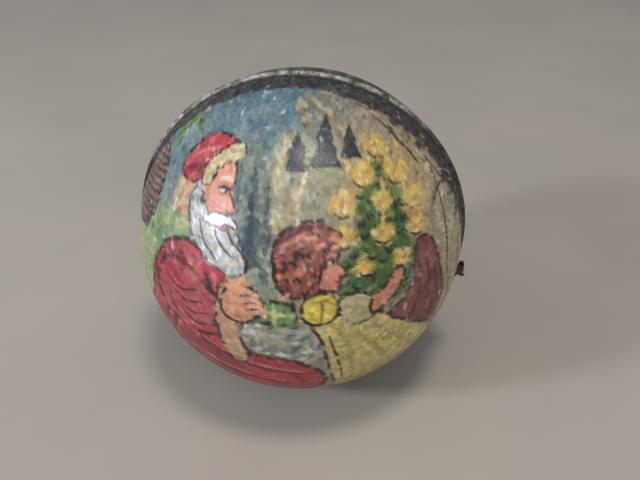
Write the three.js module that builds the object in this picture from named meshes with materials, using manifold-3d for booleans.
// Ball-shaped lithographed tin in two hinged half shells, millimetres, +Z up.
// The origin is the bottom centre of the overall box, the lid faces -Y, and the hinge is on the +X side.
import * as THREE from "three";
import { mergeVertices } from "three/addons/utils/BufferGeometryUtils.js";
import Module from "manifold-3d";

// Driving dimensions
const BALL_RADIUS = 40;
const WALL = 0.4;
const FOOT_RADIUS = 10;
const ROUND_SEGMENTS = 60;
const ARC_STEPS = 12;

const RIM_GAP = 0.3;
const BEAD_WIDTH = 1.9;
const BEAD_HEIGHT = 1.0;
const BEAD_SEAT = 39.55;
const PIECE_GAP = 0.1;
const BEAD_STEPS = 8;
// Straight wall between the bead's seat and the start of its round
const BEAD_LAND = 0.15;

const NECK_BACK_RADIUS = 39.4;
const NECK_LID_RADIUS = 39.15;
const NECK_REACH = 6.2;
const NECK_DEPTH = 4.5;
const NECK_WALL = 0.35;
// Distance of the neck's two steps from the plane of the seam
const NECK_LID_STEP = 0.2;
const NECK_BACK_STEP = 0.3;

const HINGE_AXIS_X = 41.2;
const HINGE_HEIGHT = -10.0;
const KNUCKLE_LENGTH = 1.4;
const KNUCKLE_RADIUS = 0.75;
const KNUCKLE_BORE = 0.38;
const KNUCKLE_GAP = 0.3;
const PIN_RADIUS = 0.32;
const PIN_HEAD_RADIUS = 0.56;
const PIN_HEAD_HEIGHT = 0.38;
const PIN_END_GAP = 0.12;
const PIN_TAIL = 0.5;
const PIN_BEND = 1.0;
const LEAF_REACH = 5.2;
const LEAF_THICKNESS = 0.4;
// Room between a fitting and the skin of the ball, and between a leaf and the bead
const SKIN_GAP = 0.06;
const BEAD_ROOM = 0.15;

const CATCH_ANGLE = 75;
const CATCH_ARC = 22;
const CATCH_WIDTH = 1.2;
const CATCH_PROUD = 0.9;
const CATCH_APRON = 0.9;

// The bent end of the hinge pin stands out on one side, so the ball's own axis is this far from the origin
const SHIFT_X = -0.6;

const CENTRE_HEIGHT = Math.sqrt(BALL_RADIUS ** 2 - FOOT_RADIUS ** 2);
const FAR = 200;

const wasm = await Module();
wasm.setup();

// Closed three.js geometry as a manifold solid, for booleans.
function solid(geometry) {
  const plain = geometry.clone();
  plain.deleteAttribute("normal");
  plain.deleteAttribute("uv");
  const merged = mergeVertices(plain, 1e-4);
  return new wasm.Manifold(
    new wasm.Mesh({
      numProp: 3,
      vertProperties: new Float32Array(merged.attributes.position.array),
      triVerts: new Uint32Array(merged.index.array),
    }),
  );
}

function geometryOf(body) {
  const mesh = body.getMesh();
  const stride = mesh.numProp;
  const points = new Float32Array(mesh.numVert * 3);
  for (let i = 0; i < mesh.numVert; i++) {
    points.set(mesh.vertProperties.subarray(i * stride, i * stride + 3), i * 3);
  }
  const geometry = new THREE.BufferGeometry();
  geometry.setAttribute("position", new THREE.BufferAttribute(points, 3));
  geometry.setIndex(new THREE.BufferAttribute(new Uint32Array(mesh.triVerts), 1));
  const flat = geometry.toNonIndexed();
  flat.computeVertexNormals();
  return flat;
}

function box(low, high) {
  const size = high.map((value, i) => value - low[i]);
  const middle = high.map((value, i) => (value + low[i]) / 2);
  const geometry = new THREE.BoxGeometry(...size);
  geometry.translate(...middle);
  return solid(geometry);
}

// Upright cylinder along Z between two heights.
function post(radius, x, y, low, high, segments = 24) {
  const geometry = new THREE.CylinderGeometry(radius, radius, high - low, segments);
  geometry.rotateX(Math.PI / 2);
  geometry.translate(x, y, (low + high) / 2);
  return solid(geometry);
}

// Turned body about the Y axis from [radius, y] pairs.
function turned(pairs) {
  const profile = pairs.map(([radius, y]) => new THREE.Vector2(Math.max(radius, 0), y));
  return solid(new THREE.LatheGeometry(profile, ROUND_SEGMENTS));
}

// Points of an arc about the ball's centre, in the [radius, y] plane, from one y to another.
function ballArc(radius, fromY, toY, steps = ARC_STEPS) {
  const start = Math.asin(fromY / radius);
  const end = Math.asin(toY / radius);
  const points = [];
  for (let i = 0; i <= steps; i++) {
    const angle = start + ((end - start) * i) / steps;
    points.push([radius * Math.cos(angle), radius * Math.sin(angle)]);
  }
  return points;
}

function ball(radius) {
  const arc = ballArc(radius, -radius, radius, 2 * ARC_STEPS);
  arc[0][0] = 0;
  arc[arc.length - 1][0] = 0;
  return turned(arc);
}

// The half space above a height, measured from the ball's centre.
function above(height) {
  return box([-FAR, -FAR, height], [FAR, FAR, FAR]);
}

const footHeight = -CENTRE_HEIGHT;

// One half shell behind the plane y = rimY, its dome towards +Y, with half of the flat foot.
function halfShell(rimY) {
  const inner = BALL_RADIUS - WALL;
  const outerArc = ballArc(BALL_RADIUS, rimY, BALL_RADIUS);
  outerArc[outerArc.length - 1][0] = 0;
  const outer = turned([[0, rimY], ...outerArc]).intersect(above(footHeight));
  const innerArc = ballArc(inner, rimY, inner);
  innerArc[innerArc.length - 1][0] = 0;
  const innerRim = innerArc[0][0];
  const core = turned([[0, rimY - 1], [innerRim, rimY - 1], ...innerArc]);
  return outer.subtract(core.intersect(above(footHeight + WALL)));
}

// Rolled bead round the back half's rim: half round outside, flat on its seat.
function rimBead() {
  const middle = BEAD_WIDTH / 2;
  const crown = BALL_RADIUS + BEAD_HEIGHT;
  const pairs = [[BEAD_SEAT, 0]];
  for (let i = 0; i <= BEAD_STEPS; i++) {
    const angle = -Math.PI / 2 + (Math.PI * i) / BEAD_STEPS;
    const y = middle + middle * Math.sin(angle);
    pairs.push([BEAD_SEAT + BEAD_LAND + (crown - BEAD_SEAT - BEAD_LAND) * Math.cos(angle), y]);
  }
  pairs.push([BEAD_SEAT, BEAD_WIDTH], [BEAD_SEAT, 0]);
  const flat = box([-FAR, 0, footHeight], [FAR, BEAD_WIDTH, footHeight + WALL]);
  return turned(pairs).intersect(above(footHeight)).add(flat.intersect(ball(crown)));
}

// Bare neck inside the seam: it is seated in the back half and steps in to enter the lid.
function neckRing() {
  const outside = [
    ...ballArc(NECK_LID_RADIUS, -NECK_REACH, -NECK_LID_STEP, 6),
    ...ballArc(NECK_BACK_RADIUS, NECK_BACK_STEP, NECK_DEPTH, 4),
  ];
  const inside = ballArc(NECK_LID_RADIUS - NECK_WALL, NECK_DEPTH, -NECK_REACH, 8);
  const pairs = [...outside, ...inside];
  pairs.push(pairs[0]);
  const low = footHeight + WALL + PIECE_GAP;
  const flat = box([-FAR, -NECK_REACH, low], [FAR, NECK_DEPTH, low + NECK_WALL]);
  const flatWithin = flat.intersect(ball(NECK_LID_RADIUS - NECK_WALL / 2));
  return turned(pairs).intersect(above(low)).add(flatWithin);
}

// Outline in the X-Y plane, extruded between two heights.
function plate(outline, low, high) {
  const shape = new THREE.Shape(outline.map(([x, y]) => new THREE.Vector2(x, y)));
  const geometry = new THREE.ExtrudeGeometry(shape, { depth: high - low, bevelEnabled: false });
  geometry.translate(0, 0, low);
  return solid(geometry);
}

// Ring of room for the bead, which the leaves stand clear of.
function beadRoom() {
  const inside = BALL_RADIUS - 10;
  const outside = BALL_RADIUS + BEAD_HEIGHT + BEAD_ROOM;
  const front = -2 * RIM_GAP;
  const back = BEAD_WIDTH + BEAD_ROOM;
  return turned([
    [inside, front],
    [outside, front],
    [outside, back],
    [inside, back],
    [inside, front],
  ]);
}

// Hinge leaf on the side of +Y (side = 1) or -Y (side = -1): knuckle, bridge and soldered strap.
function hingeLeaf(side, low, high) {
  const knuckle = post(KNUCKLE_RADIUS, HINGE_AXIS_X, 0, low, high);
  // The bridge leaves the knuckle, passes over the bead and comes down to the strap
  const bridge = [
    [-0.65, 0.2],
    [0.7, 0.25],
    [0.45, 1.3],
    [-0.9, 3.0],
    [-3.0, 4.6],
    [-4.6, 4.6],
    [-2.6, 2.4],
  ].map(([x, y]) => [HINGE_AXIS_X + x, side * y]);
  if (side < 0) bridge.reverse();
  const nearY = side > 0 ? BEAD_WIDTH + BEAD_ROOM : -LEAF_REACH;
  const farY = side > 0 ? LEAF_REACH : -RIM_GAP;
  const strap = ball(BALL_RADIUS + LEAF_THICKNESS + SKIN_GAP).intersect(
    box([BALL_RADIUS / 2, nearY, low], [FAR, farY, high]),
  );
  return knuckle
    .add(plate(bridge, low, high))
    .add(strap)
    .subtract(ball(BALL_RADIUS + SKIN_GAP))
    .subtract(beadRoom())
    .subtract(post(KNUCKLE_BORE, HINGE_AXIS_X, 0, low - 1, high + 1));
}

const lowKnuckle = [
  HINGE_HEIGHT - KNUCKLE_GAP / 2 - KNUCKLE_LENGTH,
  HINGE_HEIGHT - KNUCKLE_GAP / 2,
];
const highKnuckle = [
  HINGE_HEIGHT + KNUCKLE_GAP / 2,
  HINGE_HEIGHT + KNUCKLE_GAP / 2 + KNUCKLE_LENGTH,
];

// Pin with a flat head above and its lower end bent outwards.
function hingePin() {
  const headLow = highKnuckle[1] + PIN_END_GAP;
  const headHigh = headLow + PIN_HEAD_HEIGHT;
  const bottom = lowKnuckle[0] - PIN_TAIL;
  const shank = post(PIN_RADIUS, HINGE_AXIS_X, 0, bottom, headLow + PIN_HEAD_HEIGHT / 2, 20);
  const head = post(PIN_HEAD_RADIUS, HINGE_AXIS_X, 0, headLow, headHigh, 20);
  const bend = new THREE.CylinderGeometry(PIN_RADIUS, PIN_RADIUS, PIN_BEND, 20);
  bend.rotateZ(Math.PI / 2);
  bend.translate(HINGE_AXIS_X + PIN_BEND / 2, 0, bottom);
  const elbow = new THREE.SphereGeometry(PIN_RADIUS, 20, 12);
  elbow.translate(HINGE_AXIS_X, 0, bottom);
  return shank.add(head).add(solid(bend)).add(solid(elbow));
}

// Thumb lip along a short arc of the lid's rim, opposite the hinge.
function catchLip() {
  const inside = BALL_RADIUS + SKIN_GAP;
  const outside = BALL_RADIUS + CATCH_PROUD;
  const front = -RIM_GAP - CATCH_WIDTH;
  const back = -RIM_GAP;
  const round = 0.2;
  const ring = turned([
    [inside - 1, front - CATCH_APRON],
    [inside + round, front - CATCH_APRON],
    [inside + 2 * round, front],
    [outside - round, front + round],
    [outside, (front + back) / 2],
    [outside - round, back - round / 4],
    [inside - 1, back],
    [inside - 1, front - CATCH_APRON],
  ]);
  const half = THREE.MathUtils.degToRad(CATCH_ARC / 2);
  const sector = [
    [0, 0],
    [FAR * Math.sin(half), FAR * Math.cos(half)],
    [-FAR * Math.sin(half), FAR * Math.cos(half)],
  ];
  const wedge = plate(sector, -LEAF_REACH, LEAF_REACH).rotate([90, 0, 0]);
  return ring.intersect(wedge.rotate([0, -CATCH_ANGLE, 0])).subtract(ball(inside));
}

function printedTin(color) {
  return new THREE.MeshStandardMaterial({ color, roughness: 0.35, metalness: 0.3 });
}

function bareTin() {
  return new THREE.MeshStandardMaterial({ color: 0xb9b3ac, roughness: 0.4, metalness: 0.9 });
}

function darkSteel() {
  return new THREE.MeshStandardMaterial({ color: 0x3a3230, roughness: 0.55, metalness: 0.7 });
}

function piece(name, body, material) {
  const mesh = new THREE.Mesh(geometryOf(body), material);
  mesh.name = name;
  return mesh;
}

const backHalf = new THREE.Group();
backHalf.add(piece("back_shell", halfShell(BEAD_WIDTH + PIECE_GAP), printedTin(0x6f8a6a)));
backHalf.add(piece("rim_bead", rimBead(), printedTin(0x4a4540)));
backHalf.add(piece("neck_ring", neckRing(), bareTin()));
backHalf.add(piece("back_hinge_leaf", hingeLeaf(1, ...lowKnuckle), darkSteel()));
backHalf.add(piece("hinge_pin", hingePin(), darkSteel()));

const lid = new THREE.Group();
const frontShell = halfShell(RIM_GAP).mirror([0, 1, 0]);
lid.add(piece("front_shell", frontShell, printedTin(0x8fb4a8)));
lid.add(piece("lid_hinge_leaf", hingeLeaf(-1, ...highKnuckle), darkSteel()));
lid.add(piece("catch_lip", catchLip(), darkSteel()));

const group = new THREE.Group();
group.position.set(SHIFT_X, 0, CENTRE_HEIGHT);
group.add(backHalf, lid);

export default group;
